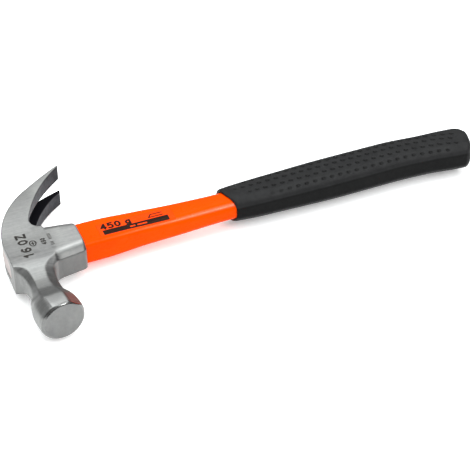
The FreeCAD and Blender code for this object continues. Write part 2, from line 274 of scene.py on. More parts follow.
N_CU = [10.1, 9.9, 9.2, 7.7, 6.3, 6.5, 6.3, 4.8, 2.0]
N_CZ = [8.1, 8.0, 7.3, 5.8, 4.6, 4.3, 3.8, 3.2, 2.6]
# the poll's axis leans 7.5 degrees towards the handle
FACE_X, FACE_Y, TILT = 17.6, -62.9, math.radians(7.5)

# Stamped marks on the upper cheek: a plain weight mark, read from the claw side, and
# two short rows of strokes. Unit glyphs are 1 high and 0.7 wide.
GLYPH = {
    "1": [[(0.12, 0.74), (0.4, 1.0), (0.4, 0.0)]],
    "6": [[(0.62, 0.93), (0.36, 1.0), (0.1, 0.72), (0.04, 0.3), (0.2, 0.03), (0.5, 0.03), (0.66, 0.28), (0.5, 0.55), (0.22, 0.56), (0.05, 0.36)]],
    "O": [[(0.34, 1.0), (0.1, 0.84), (0.02, 0.5), (0.1, 0.16), (0.34, 0.0), (0.58, 0.16), (0.66, 0.5), (0.58, 0.84), (0.34, 1.0)]],
    "Z": [[(0.04, 1.0), (0.64, 1.0), (0.04, 0.0), (0.66, 0.0)]],
    "4": [[(0.5, 0.0), (0.5, 1.0), (0.02, 0.3), (0.68, 0.3)]],
    "5": [[(0.6, 1.0), (0.12, 1.0), (0.08, 0.58), (0.42, 0.62), (0.64, 0.42), (0.6, 0.1), (0.34, 0.0), (0.06, 0.08)]],
    "0": [[(0.34, 1.0), (0.1, 0.84), (0.02, 0.5), (0.1, 0.16), (0.34, 0.0), (0.58, 0.16), (0.66, 0.5), (0.58, 0.84), (0.34, 1.0)]],
    "g": [[(0.6, 0.55), (0.34, 0.7), (0.08, 0.5), (0.1, 0.16), (0.34, 0.04), (0.6, 0.2), (0.6, 0.68), (0.6, -0.1), (0.4, -0.28), (0.1, -0.2)]],
}


def write(text, height, gap, origin, right, up):
    """Strokes of a short text. right and up are plan directions of unit length."""
    out, x = [], 0.0
    for ch in text:
        if ch == " ":
            x += height * 0.45
            continue
        for line in GLYPH[ch]:
            out.append([(origin[0] + (x + gx * height) * right[0] + gy * height * up[0],
                         origin[1] + (x + gx * height) * right[1] + gy * height * up[1]) for gx, gy in line])
        x += height * 0.7 + gap
    return out


STAMP = write("16 OZ", 5.4, 1.75, (15.2, -11.2), (0.0, 1.0), (-1.0, 0.0))
STAMP_THIN = (write("450", 2.3, 0.55, (26.0, -2.6), (0.0, 1.0), (-1.0, 0.0))
              + [[(19.0 + 1.9 * math.cos(t) - 0.9, 1.0 + 2.6 * math.sin(t)) for t in np.linspace(0, 2 * math.pi, 25)]]
              + [[(17.2, 1.0), (19.0, 1.0)], [(18.1, -0.6), (18.1, 2.6)]]
              + [[(29.0, y), (30.4, y)] for y in (-4.4, -3.2, -2.0, 1.4, 2.6, 3.8, 5.0, 6.2)])

S = 0.28
gx = np.arange(-1.6, 57.6, S)
gy = np.arange(-67.4, 69.0, S)
gz = np.arange(-17.9, 17.9 + S, S)
X2, Y2 = np.meshgrid(gx, gy, indexing="ij")
plan2 = poly_sdf(X2, Y2, plan)[:, :, None].astype(np.float32)
Y1 = gy[None, :, None].astype(np.float32)
X1 = gx[:, None, None].astype(np.float32)
Z1 = gz[None, None, :].astype(np.float32)
AZ = np.abs(Z1)


def cheek(Y):
    """Half thickness of the block and claw."""
    t = Y - 12.0
    soft = 0.5 * (t + np.sqrt(t * t + 16.0))
    return 11.6 + soft * (16.65 - 11.6) / 56.0 - 0.0


def col_field():
    hy = np.interp(X1.ravel(), [12.0, 31.0, 46.6, 48.7, 60.0], [18.2, 17.1, 14.8, 14.0, 10.0])[:, None, None]
    ay = np.abs(Y1 - 0.45)
    qy = ay - hy
    qz = AZ - 11.6
    ch = (qy + qz + 4.3) * 0.70711
    f = smax(smax(ch, qz, 2.6), qy, 0.5)
    f = smax(f, X1 - 48.7, 1.6)
    # the bar starts where the fillet beside the neck ends
    return smax(f, 21.0 - X1, 1.0)


def poll_field():
    y = gy
    lo, up, hz = pchip(y, NY, N_LO), pchip(y, NY, N_UP), pchip(y, NY, N_HZ)
    cl, cu, cz = [pchip(y, NY, q)[None, :, None] for q in (N_CL, N_CU, N_CZ)]
    lo, up, hz = lo[None, :, None], up[None, :, None], hz[None, :, None]
    pz = AZ - hz
    pl, pu = lo - X1, X1 - up
    bl = (pl * cz + pz * cl + cl * cz) / np.sqrt(cl * cl + cz * cz)
    bu = (pu * cz + pz * cu + cu * cz) / np.sqrt(cu * cu + cz * cz)
    f = smax(smax(pl, bl, 1.4), smax(pu, bu, 1.4), 1.0)
    f = smax(f, pz, 0.7)
    st_, ct_ = math.sin(TILT), math.cos(TILT)
    back = -(X1 - FACE_X) * st_ + (Y1 - FACE_Y) * ct_
    rho = np.sqrt(((X1 - FACE_X) * ct_ + (Y1 - FACE_Y) * st_) ** 2 + Z1 ** 2)
    rad = pchip(back, [-2.0, 1.9, 5.0, 11.0, 15.5, 19.5, 29.0], [14.4, 14.5, 14.8, 14.7, 14.2, 13.2, 24.0])
    f = smax(f, rho - rad, 0.8)
    cone = ((rho - 12.4) * 1.9 - back * 2.1) / 2.832
    f = smax(f, cone, 0.3)
    f = smax(f, rho * rho / 900.0 - back, 0.3)
    return smax(f, Y1 + 12.0, 2.0)


def slot_field():
    c30, s30 = math.cos(math.radians(30.0)), math.sin(math.radians(30.0))
    u = (X1 - 29.5) * c30 + (Y1 - 52.3) * s30
    l = (X1 - 29.5) * s30 - (Y1 - 52.3) * c30
    w = 0.9 + 0.128 * u + 0.6 * l
    side = (AZ - w) / 1.173
    end = -(u + 1.145 * l - 0.03) / 1.52
    return smax(smax(side, end, 2.2), l - 20.0, 1.0)


def bar(cy, hy, hz, r):
    qy, qz = np.abs(Y1 - cy) - (hy - r), AZ - (hz - r)
    return np.hypot(np.maximum(qy, 0), np.maximum(qz, 0)) + np.minimum(np.maximum(qy, qz), 0) - r


F = smax(plan2 + 0 * Z1, AZ - cheek(Y1), 0.9)
# the block's edge on the striking side breaks into the collar's bevel
F = smax(F, (-Y1 - 15.8 + AZ - 11.6 - 3.0 + 7.3 * smooth((X1 - 13.0) / 14.0)) * 0.70711, 2.0)
col = col_field()
F = smin(F, col, 2.4)
poll = poll_field()
F = smin(F, poll, 6.0)
# the cheeks and the neck's upper and lower faces are ground: a slab trims the forging
hz_n = pchip(gy, NY, N_HZ)
slab = np.where(gy > -16.0, 11.6, hz_n + 0.25)
slab = np.where(gy > 0, cheek(gy), slab)
k = np.exp(-0.5 * (np.arange(-12, 13) * S / 1.6) ** 2)
slab = np.convolve(np.pad(slab, 12, mode="edge"), k / k.sum(), mode="valid")
F = smax(F, AZ - slab[None, :, None].astype(np.float32), 0.5)
F = smax(F, 0.03 - X1, 0.5)
slotf = slot_field()
F = smax(F, -slotf, 0.5)
F = smax(F, -smax(bar(1.2, 10.0, 7.0, 6.0) + 0 * X1, X1 - 31.0, 0.4), 0.8)
F = smax(F, -smax(bar(1.8, 11.7, 8.8, 3.0) + 0 * X1, 30.0 - X1, 0.4), 0.5)
# stamped marks, pressed 0.3 mm into the upper cheek
st = strokes_dist(X2, Y2, STAMP) - 0.58
st2 = strokes_dist(X2, Y2, STAMP_THIN) - 0.3
stamp = np.minimum(st, st2)[:, :, None].astype(np.float32)
groove = smax(stamp, (11.6 - 0.32) - Z1, 0.3)
F = smax(F, -groove, 0.25).astype(np.float32)

V, Q = surface_nets(F, np.array([gx[0], gy[0], gz[0]]), S)


def sample(G, P):
    p = (P - np.array([gx[0], gy[0], gz[0]])) / S
    i = np.clip(np.floor(p).astype(int), 0, np.array(G.shape) - 2)
    t = p - i
    r = 0
    for a in (0, 1):
        for b in (0, 1):
            for cc in (0, 1):
                w = ((t[:, 0] if a else 1 - t[:, 0]) * (t[:, 1] if b else 1 - t[:, 1]) * (t[:, 2] if cc else 1 - t[:, 2]))
                r = r + w * G[i[:, 0] + a, i[:, 1] + b, i[:, 2] + cc]
    return r


def gradient(G, P, e):
    g = np.stack([sample(G, P + e * np.eye(3)[k]) - sample(G, P - e * np.eye(3)[k]) for k in range(3)], 1)
    return g


for _ in range(2):
    g = gradient(F, V, S * 0.6)
    n2 = (g * g).sum(1) / (4 * (S * 0.6) ** 2)
    step = sample(F, V) / np.maximum(n2, 0.25)
    V = V - np.clip(step, -S * 0.4, S * 0.4)[:, None] * g / (2 * S * 0.6)
g = gradient(F, V, S * 0.8)
N = g / np.maximum(np.linalg.norm(g, axis=1), 1e-9)[:, None]
head = new_mesh("head_forging", to_row(V), Q, ["hammer_head"])
if len(head.data.vertices) == len(N):
    head.data.normals_split_custom_set_from_vertices(N.tolist())

# masks for the steel: where the claw's underside is darker, the painted shadow in the slot, where the marks are,
# where it is ground
du = strokes_dist(V[:, 0], V[:, 1], [list(map(tuple, under_line))])
along = np.clip((V[:, 1] - 17.0) / 47.0, 0, 1)
h_here = cheek(V[:, 1])
inner = smooth((h_here - np.abs(V[:, 2]) - 0.15) / 0.5)
under = (du < 0.7) * inner * smooth((V[:, 1] - 14.5) / 5.0)
sv = sample(np.broadcast_to(slotf, F.shape), V)
# painted shadow: the walls of the claw's slot are marked to be made nearly black
slot_shadow_mask = smooth((0.75 - np.abs(sv)) / 0.4) * (np.abs(V[:, 2]) < 14.5) * (V[:, 1] > 20)
set_attr(head, "under", np.clip(under, 0, 1))
set_attr(head, "slot_painted_shadow", np.clip(slot_shadow_mask * inner, 0, 1))
set_attr(head, "along", along)
sm = np.minimum(strokes_dist(V[:, 0], V[:, 1], STAMP) - 0.62, strokes_dist(V[:, 0], V[:, 1], STAMP_THIN) - 0.3)
set_attr(head, "stamp", smooth((0.22 - sm) / 0.3) * (V[:, 2] > 9.0))
groundm = np.clip(smooth((np.abs(N[:, 2]) - 0.93) / 0.05) + smooth((-N[:, 1] - 0.95) / 0.04) * (V[:, 1] < -62), 0, 1)
set_attr(head, "ground", groundm)


# painted light and shade in the steel's colour: flat faces lighter than the side walls,
# cheeks darker towards the claw's tips, and the neck, bell and face each set to their own brightness
tx_, ty_, tz_ = V[:, 0], V[:, 1], V[:, 2]
flat = smooth((np.abs(N[:, 2]) - 0.90) / 0.08)
painted_light_tone = np.full(len(V), 0.20)
painted_light_tone += flat * (0.25 + 0.08 * smooth((tx_ - 26.0) / 12.0) - painted_light_tone)
painted_light_tone *= 1.0 - 0.35 * smooth((ty_ - 16.0) / 48.0)


def paint(mask, value):
    global painted_light_tone
    painted_light_tone = painted_light_tone + np.clip(mask, 0, 1) * (value - painted_light_tone)


neck_y = smooth((-15.0 - ty_) / 3.0) * smooth((ty_ + 46.0) / 5.0)
paint(flat * neck_y, 0.24)
from_face = -(tx_ - FACE_X) * math.sin(TILT) + (ty_ - FACE_Y) * math.cos(TILT)
paint(smooth((19.0 - from_face) / 4.0) * (ty_ < -30), 0.22)
# painted highlight: the flat facet on top of the bell made much lighter
paint(smooth((15.0 - from_face) / 4.0) * flat * (ty_ < -30), 0.36)
across = (tx_ - FACE_X) * math.cos(TILT) + (ty_ - FACE_Y) * math.sin(TILT)
# painted shade: a dark line in the corner each side of the flat facet on top of the bell
painted_crease_shade = np.exp(-((np.abs(across + 0.3) - 6.2) / 0.55) ** 2) * smooth((14.0 - from_face) / 4.0) * smooth((from_face - 1.6) / 0.8)
painted_light_tone *= 1.0 - 0.45 * painted_crease_shade * (ty_ < -30) * (np.abs(tz_) > 8)
# painted shade: the chamfer round the face made darker, and given a lower roughness
cham = smooth((2.05 - from_face) / 0.3) * (ty_ < -30)
paint(cham, 0.17)
# painted shade: the striking face made darker
facem = smooth((N[:, 0] * math.sin(TILT) - N[:, 1] * math.cos(TILT) - 0.93) / 0.05) * (from_face < 1.2) * (ty_ < -30)
paint(facem, 0.18)
on_collar = smooth((tx_ - 27.0) / 1.5) * (np.abs(ty_) < 19)
# painted shade: the collar's bevels and side walls made darker than its top
paint(on_collar * smooth((np.abs(N[:, 1]) - 0.4) / 0.15) * smooth((np.abs(N[:, 2]) - 0.4) / 0.15), 0.115)
paint(on_collar * smooth((np.abs(N[:, 1]) - 0.82) / 0.1), 0.14)
set_attr(head, "gloss", np.clip(cham * (1 - facem), 0, 1))
set_attr(head, "painted_light_tone", painted_light_tone)


# ------------------------------------------------------------------ lofted pieces
def section(hy, hz, r, n):
    """n points round a rounded rectangle, evenly spaced by length, starting at +Y,
    with the outward normals and the length along it."""
    m_ = 720
    pts, nrm = [], []
    a, b = hy - r, hz - r
    for (sy, sz, t0) in ((1, 1, 0.0), (-1, 1, 0.5), (-1, -1, 1.0), (1, -1, 1.5)):
        t = np.linspace(t0 * math.pi, (t0 + 0.5) * math.pi, m_ // 4 + 1)
        pts.append(np.c_[sy * a + r * np.cos(t), sz * b + r * np.sin(t)])
        nrm.append(np.c_[np.cos(t), np.sin(t)])
    pts, nrm = np.concatenate(pts), np.concatenate(nrm)
    pts, nrm = np.r_[pts, pts[:1]], np.r_[nrm, nrm[:1]]
    L = np.r_[0, np.cumsum(np.hypot(*np.diff(pts, axis=0).T))]
    s = np.linspace(0, L[-1], n + 1)[:-1]
    keep = np.r_[True, np.diff(L) > 1e-9]
    P = np.c_[np.interp(s, L[keep], pts[keep, 0]), np.interp(s, L[keep], pts[keep, 1])]
    Nn = np.c_[np.interp(s, L[keep], nrm[keep, 0]), np.interp(s, L[keep], nrm[keep, 1])]
    Nn /= np.linalg.norm(Nn, axis=1)[:, None]
    return P, Nn, s, L[-1]


def ring_faces(rows, n, close_rows=False):
    i = np.arange(rows - 1)[:, None] * n
    j = np.arange(n)[None, :]
    j2 = (j + 1) % n
    return np.stack([i + j, i + n + j, i + n + j2, i + j2], -1).reshape(-1, 4)


# the orange jacket
JX = [30.0, 60.0, 89.0, 115.0, 147.0, 163.0]
JC = [1.8, 1.8, 1.75, 1.1, 1.15, 1.15]
JHY, JHZ, JR = [11.6, 11.6, 10.6, 9.9, 9.3, 9.28], [8.7, 8.7, 8.35, 8.1, 7.9, 7.88], [3.0, 3.0, 4.3, 5.4, 6.4, 6.4]


def jac(x):
    return pchip(x, JX, JHY), pchip(x, JX, JHZ), pchip(x, JX, JR)


NJ = 176
xs = np.concatenate([np.linspace(30.2, 48, 10), np.arange(48.4, 159.8, 0.9), [159.8]])
rows, rows_n, ridge = [], [], []
for x in xs:
    hy, hz, r = [float(q) for q in jac(x)]
    P, Nn, s, L = section(hy, hz, r, NJ)
    ridge.append(smooth((np.minimum(np.abs(Nn[:, 0]), np.abs(Nn[:, 1])) - 0.42) / 0.2) * (0.25 + 0.75 * float(smooth((x - 60.0) / 75.0))))
    # mould parting line, a fine raised seam along both narrow sides
    seam = 0.07 * np.exp(-(P[:, 1] / 0.35) ** 2)
    P = P + Nn * seam[:, None]
    P[:, 0] += float(pchip(x, JX, JC))
    rows.append(np.c_[np.full(NJ, x), P])
for x, hy, hz, r in ((159.8, 8.1, 6.7, 5.4), (322.0, 8.1, 6.7, 5.4), (323.0, 7.4, 6.0, 4.9), (323.0, 6.4, 4.9, 4.2), (318.2, 6.32, 4.82, 4.2), (30.2, 6.32, 4.82, 4.2)):
    P, Nn, s, L = section(hy, hz, r, NJ)
    P[:, 0] += 1.2
    rows.append(np.c_[np.full(NJ, x), P])
rows.append(rows[0])
VJ = np.concatenate(rows[:-1])
FJ = ring_faces(len(rows) - 1, NJ)
last = (len(rows) - 2) * NJ
j = np.arange(NJ)
FJ = np.r_[FJ, np.c_[last + j, j, (j + 1) % NJ, last + (j + 1) % NJ]]
jacket = new_mesh("jacket_moulding", to_row(VJ), FJ[:, ::-1], ["shaft_jacket"])
ridge = np.concatenate(ridge)
set_attr(jacket, "ridge", np.r_[ridge, np.zeros(len(VJ) - len(ridge))])

# the label film, a patch that follows the jacket's upper face, with generic print
LX0, LX1, LY0, LY1 = 60.5, 111.5, -6.8, 5.6
ls = 0.22
lx = np.linspace(LX0, LX1, int((LX1 - LX0) / ls) + 1)
ly = np.linspace(LY0, LY1, int((LY1 - LY0) / ls) + 1)


def top_z(x, y):
    hy, hz, r = jac(x)
    e = np.maximum(np.abs(y - pchip(x, JX, JC)) - (hy - r), 0)
    return (hz - r) + np.sqrt(np.maximum(r * r - e * e, 0))


LXX, LYY = np.meshgrid(lx, ly, indexing="ij")
zt = top_z(LXX, LYY)
edge = np.minimum(np.minimum(LXX - LX0, LX1 - LXX), np.minimum(LYY - LY0, LY1 - LYY))
up_v = np.c_[LXX.ravel(), LYY.ravel(), (zt + 0.14 * smooth(edge / 0.25 + 0.25)).ravel()]
dn_v = np.c_[LXX.ravel(), LYY.ravel(), (zt - 0.25).ravel()]
nxl, nyl = len(lx), len(ly)
ii, jj = np.meshgrid(np.arange(nxl - 1), np.arange(nyl - 1), indexing="ij")
q0 = (ii * nyl + jj).ravel()
top_q = np.c_[q0, q0 + nyl, q0 + nyl + 1, q0 + 1]
nb = nxl * nyl
bot_q = top_q[:, ::-1] + nb
rim = np.r_[np.arange(0, nyl), np.arange(1, nxl) * nyl + nyl - 1, (nxl - 1) * nyl + np.arange(nyl - 2, -1, -1), np.arange(nxl - 2, 0, -1) * nyl]
r2 = np.roll(rim, -1)
side_q = np.c_[rim, r2, r2 + nb, rim + nb]
film = new_mesh("label_film_print", to_row(np.r_[up_v, dn_v]), np.r_[top_q, bot_q, side_q], ["label_film"])
BAR = np.maximum(np.abs(LXX - 85.3) - 22.2, np.abs(LYY + 3.75) - 2.35)
blocks = np.full(LXX.shape, 1e9)
tx = write("450 g", 4.7, 1.5, (63.2, -0.3), (1.0, 0.0), (0.0, 1.0))
name_d = strokes_dist(LXX, LYY, tx) - 0.74
mot = np.minimum(seg_dist(LXX, LYY, 95.0, 0.1, 104.5, 0.1), seg_dist(LXX, LYY, 97.0, 2.6, 104.5, 2.6)) - 0.45
mot = np.minimum(mot, seg_dist(LXX, LYY, 95.0, 0.1, 97.0, 2.6) - 0.45)
cutout = np.minimum(seg_dist(LXX, LYY, 81.5, -3.9, 84.0, -3.9), seg_dist(LXX, LYY, 86.5, -3.9, 92.0, -3.9)) - 0.6
ink = np.maximum(np.minimum(np.minimum(BAR, name_d), mot), -cutout)
ink = smooth((0.12 - ink) / 0.24)
set_attr(film, "ink", np.r_[ink.ravel(), np.zeros(nb)])

# the rubber grip, with its rows of dimples
GX = [147.0, 149.0, 191.0, 229.0, 270.0, 297.0, 315.0, 329.0]
GC = [1.75, 1.8, 1.8, 1.8, 2.05, 0.5, -1.05, -1.9]
GHY = [11.2, 11.5, 13.3, 14.1, 13.95, 13.7, 14.35, 14.5]
GHZ = [9.4, 9.6, 10.1, 10.4, 10.4, 10.2, 10.3, 10.2]
GR = [7.1, 7.2, 7.1, 7.0, 7.0, 7.0, 7.0, 7.0]
GS = 0.33
NG = int(72 / GS)
gxs = [147.0, 147.15, 147.4, 147.8, 148.3, 148.9]
shr = [0.75, 0.42, 0.2, 0.08, 0.02, 0.0]
xm = np.arange(149.2, 329.0, GS)
tt = np.linspace(0, 1, 22)[1:]
xe = 329.0 + 4.0 * np.sin(tt * math.pi / 2)
se = 3.4 * (1 - np.cos(tt * math.pi / 2))
allx = np.r_[gxs, xm, xe]
alls = np.r_[shr, np.zeros(len(xm)), se]
rows = []
dimple_shade_all, side_shade_all = [], []
for x, sh in zip(allx, alls):
    xq = min(x, 329.0)
    cy, hy, hz, r = float(pchip(xq, GX, GC)), float(pchip(xq, GX, GHY)), float(pchip(xq, GX, GHZ)), float(pchip(xq, GX, GR))
    hy, hz = hy - sh, hz - sh
    r = max(r - sh * 0.35, 2.5)
    P, Nn, s, L = section(hy, hz, r, NG)
    # rows of dimples run along both broad faces; yy is the height across the face
    yy = P[:, 0] + cy
    drop = float(np.interp(x, [284.0, 305.0, 322.0], [0.3, 2.8, 7.0]))
    depth = np.zeros(NG)
    for y0, ph, lo_x, hi_x, amp in ((14.4, 0.0, 153, 318, 1.0), (9.6, 0.2, 153, 322, 1.0), (4.8, 3.3, 155, 322, 1.0),
                                    (-1.3, -1.0, 161, 322, 1.0), (-7.9, 1.6, 178, 312, 0.75)):
        dx = (x - 240.0 - ph + 3.11) % 6.22 - 3.11
        xc = x - dx
        if xc < lo_x or xc > hi_x:
            continue
        fade = amp * min(1.0, 0.35 + (xc - lo_x) / 30.0)
        steep = np.maximum(np.abs(Nn[:, 1]), 0.3)
        rr = np.sqrt((dx / 1.75) ** 2 + ((yy - (y0 - drop)) / steep / 1.35) ** 2)
        depth = np.maximum(depth, fade * 0.9 * np.clip(1 - rr * rr, 0, 1) ** 0.8 * (np.abs(Nn[:, 1]) > 0.3))
    # painted shade: each dimple's depth is kept to darken the rubber there
    dimple_shade_all.append(depth / 0.9)
    # painted shade: the grip's narrow sides are marked to be made darker
    side_shade_all.append(smooth((-Nn[:, 0] - 0.94) / 0.05) + smooth((Nn[:, 0] - 0.94) / 0.05))
    P = P - Nn * depth[:, None]
    # seen from above, the lip runs back on the striking side and the butt is bowed
    ya = P[:, 0] + cy
    lead = np.interp(ya, [-12.0, -9.5, -4.5, 2.0, 7.0, 14.0], [8.4, 6.8, 4.6, 2.2, 0.8, 0.2])
    tail = np.interp(ya, [-16.5, -14.0, -11.5, -8.5, -5.0, -1.5, 2.5, 6.5, 9.5, 12.5], [6.6, 4.9, 3.9, 2.9, 1.9, 0.8, 0.2, 2.2, 5.6, 10.4])
    xw = x + lead * smooth((176.0 - x) / 29.0) - tail * smooth((x - 308.0) / 25.0)
    rows.append(np.c_[xw, ya, P[:, 1]])
nr = len(rows)
VG = np.concatenate(rows)
FG = ring_faces(nr, NG)
# bore: back from the front lip over the jacket's tenon
bore = []
for x, hy, hz, r, cy in ((0.0, 9.34, 7.94, 6.4, 1.15), (160.2, 9.34, 7.94, 6.4, 1.15),
                         (160.2, 8.15, 6.75, 5.4, 1.2), (323.2, 8.15, 6.75, 5.4, 1.2)):
    P, Nn, s, L = section(hy, hz, r, NG)
    P[:, 0] += cy
    # the first ring follows the lip
    xr = np.full(NG, x) if x else 148.0 + np.interp(P[:, 0], [-12.0, -9.5, -4.5, 2.0, 7.0, 14.0], [8.4, 6.8, 4.6, 2.2, 0.8, 0.2])
    bore.append(np.c_[xr, P])
c_end = np.array([[float(np.mean(rows[-1][:, 0])), float(np.mean(rows[-1][:, 1])), 0.0], [323.2, 0.0, 0.0]])
VG = np.r_[VG, bore[0], bore[1], bore[2], bore[3], c_end]
b0, b1, b2, b3 = [(nr + q) * NG for q in range(4)]
e0, e1 = (nr + 4) * NG, (nr + 4) * NG + 1
j = np.arange(NG)
j2 = (j + 1) % NG
extra = np.r_[np.c_[b0 + j, j, j2, b0 + j2], np.c_[b1 + j, b0 + j, b0 + j2, b1 + j2],
              np.c_[b2 + j, b1 + j, b1 + j2, b2 + j2], np.c_[b3 + j, b2 + j, b2 + j2, b3 + j2]]
quads_g = np.r_[FG, extra][:, ::-1]
tri_a = np.c_[(nr - 1) * NG + j, (nr - 1) * NG + j2, np.full(NG, e0)]
tri_b = np.c_[b3 + j2, b3 + j, np.full(NG, e1)]


def mixed_mesh(name, verts, quads, tris, nodes):
    me = bpy.data.meshes.new(name)
    me.vertices.add(len(verts))
    me.vertices.foreach_set("co", np.asarray(verts, np.float32).ravel())
    idx = np.r_[quads.ravel(), tris.ravel()].astype(np.int32)
    me.loops.add(len(idx))
    me.loops.foreach_set("vertex_index", idx)
    me.polygons.add(len(quads) + len(tris))
    starts = np.r_[np.arange(len(quads)) * 4, len(quads) * 4 + np.arange(len(tris)) * 3].astype(np.int32)
    me.polygons.foreach_set("loop_start", starts)
    me.polygons.foreach_set("loop_total", np.r_[np.full(len(quads), 4), np.full(len(tris), 3)].astype(np.int32))
    me.update(calc_edges=True)
    me.validate()
    me.polygons.foreach_set("use_smooth", np.ones(len(me.polygons), bool))
    ob = bpy.data.objects.new(name, me)
    scene.collection.objects.link(ob)
    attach(ob, "root")
    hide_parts(*nodes)
    return ob


grip = mixed_mesh("grip_rubber", to_row(VG), quads_g, np.r_[tri_a, tri_b], ["grip_sleeve"])
grip2 = None
dimple_shade_mask = np.concatenate(dimple_shade_all)
set_attr(grip, "dimple", np.r_[dimple_shade_mask, np.zeros(len(VG) - len(dimple_shade_mask))])
side_shade_mask = np.concatenate(side_shade_all)
set_attr(grip, "side", np.r_[side_shade_mask, np.zeros(len(VG) - len(side_shade_mask))])


# ------------------------------------------------------------------ materials
def material(name):
    mt = bpy.data.materials.new(name)
    mt.use_nodes = True
    nt = mt.node_tree
    bsdf = nt.nodes["Principled BSDF"]
    return mt, nt, bsdf


def node(nt, kind, **kw):
    nd = nt.nodes.new(kind)
    for key, value in kw.items():
        if key.startswith("i_"):
            nd.inputs[key[2:].replace("_", " ")].default_value = value
        else:
            setattr(nd, key, value)
    return nd


def noise(nt, scale, detail=4.0, rough=0.55, stretch=None, distortion=0.0):
    tc = node(nt, "ShaderNodeTexCoord")
    mp = node(nt, "ShaderNodeMapping")
    if stretch:
        mp.inputs["Scale"].default_value = stretch
    nt.links.new(tc.outputs["Object"], mp.inputs["Vector"])
    nz = node(nt, "ShaderNodeTexNoise")
    nz.inputs["Scale"].default_value = scale
    nz.inputs["Detail"].default_value = detail
    nz.inputs["Roughness"].default_value = rough
    nz.inputs["Distortion"].default_value = distortion
    nt.links.new(mp.outputs["Vector"], nz.inputs["Vector"])
    return nz.outputs["Fac"]


def ramp(nt, fac, stops):
    r = node(nt, "ShaderNodeValToRGB")
    els = r.color_ramp.elements
    while len(els) < len(stops):
        els.new(0.5)
    for e, (p, col_) in zip(els, stops):
        e.position = p
        e.color = (*col_, 1.0) if len(col_) == 3 else col_
    nt.links.new(fac, r.inputs["Fac"])
    return r.outputs["Color"]


def math_(nt, op, a, b=None, clamp=False):
    n_ = node(nt, "ShaderNodeMath", operation=op, use_clamp=clamp)
    for k_, v_ in enumerate((a, b)):
        if v_ is None:
            continue
        if isinstance(v_, (int, float)):
            n_.inputs[k_].default_value = v_
        else:
            nt.links.new(v_, n_.inputs[k_])
    return n_.outputs[0]


def mix(nt, fac, a, b, kind="MIX"):
    n_ = node(nt, "ShaderNodeMix", data_type="RGBA", blend_type=kind)
    if isinstance(fac, (int, float)):
        n_.inputs["Factor"].default_value = fac
    else:
        nt.links.new(fac, n_.inputs["Factor"])
    for sock, v_ in ((n_.inputs[6], a), (n_.inputs[7], b)):
        if isinstance(v_, tuple):
            sock.default_value = (*v_, 1.0) if len(v_) == 3 else v_
        else:
            nt.links.new(v_, sock)
    return n_.outputs[2]


def attr(nt, name):
    return node(nt, "ShaderNodeAttribute", attribute_name=name).outputs["Fac"]


def bump(nt, height, strength, distance, normal=None):
    b = node(nt, "ShaderNodeBump")
    b.inputs["Strength"].default_value = strength
    b.inputs["Distance"].default_value = distance
    nt.links.new(height, b.inputs["Height"])
    if normal is not None:
        nt.links.new(normal, b.inputs["Normal"])
    return b.outputs["Normal"]


# forged and ground steel
mt, nt, bs = material("steel_forged_ground")
brush = noise(nt, 90.0, 5.0, 0.6, (1.0, 14.0, 1.0))
cloud = noise(nt, 55.0, 3.0, 0.5)
grainy = noise(nt, 900.0, 3.0, 0.6)
base = ramp(nt, cloud, [(0.3, (0.94, 0.94, 0.93)), (0.7, (1.06, 1.06, 1.03))])
base = mix(nt, 1.0, base, ramp(nt, brush, [(0.3, (0.86, 0.86, 0.86)), (0.72, (1.12, 1.12, 1.12))]), "MULTIPLY")
base = mix(nt, 1.0, base, ramp(nt, noise(nt, 420.0, 5.0, 0.65), [(0.3, (0.92, 0.93, 0.94)), (0.7, (1.06, 1.06, 1.06))]), "MULTIPLY")
# painted light and shade: the base colour is scaled by the per-vertex brightness set on the head
base = mix(nt, 1.0, base, attr(nt, "painted_light_tone"), "MULTIPLY")
# the claw's underside is made darker, darkest towards its tips
under_dark_tips = ramp(nt, noise(nt, 180.0, 5.0, 0.65), [(0.3, (0.018, 0.018, 0.022)), (0.75, (0.055, 0.055, 0.062))])
under_dark_root = ramp(nt, noise(nt, 180.0, 5.0, 0.65), [(0.3, (0.08, 0.08, 0.09)), (0.75, (0.17, 0.17, 0.18))])
under_dark_blend = mix(nt, attr(nt, "along"), under_dark_root, under_dark_tips)
base = mix(nt, attr(nt, "under"), base, under_dark_blend)
# painted shadow: the slot's walls made nearly black
base = mix(nt, attr(nt, "slot_painted_shadow"), base, (0.006, 0.006, 0.008))
base = mix(nt, math_(nt, "MULTIPLY", attr(nt, "stamp"), 0.95), base, (0.03, 0.027, 0.024))
nt.links.new(base, bs.inputs["Base Color"])
bs.inputs["Metallic"].default_value = 1.0
rg = ramp(nt, brush, [(0.25, (0.36,) * 3), (0.75, (0.50,) * 3)])
dk = math_(nt, "MAXIMUM", attr(nt, "under"), attr(nt, "slot_painted_shadow"))
rg = mix(nt, dk, rg, (0.62, 0.62, 0.62))
rg = mix(nt, attr(nt, "gloss"), rg, (0.24, 0.24, 0.24))
nt.links.new(rg, bs.inputs["Roughness"])
hgt = math_(nt, "ADD", math_(nt, "MULTIPLY", brush, 0.6), math_(nt, "MULTIPLY", grainy, 0.5))
nt.links.new(bump(nt, hgt, 0.25, 0.0002), bs.inputs["Normal"])
head.data.materials.append(mt)

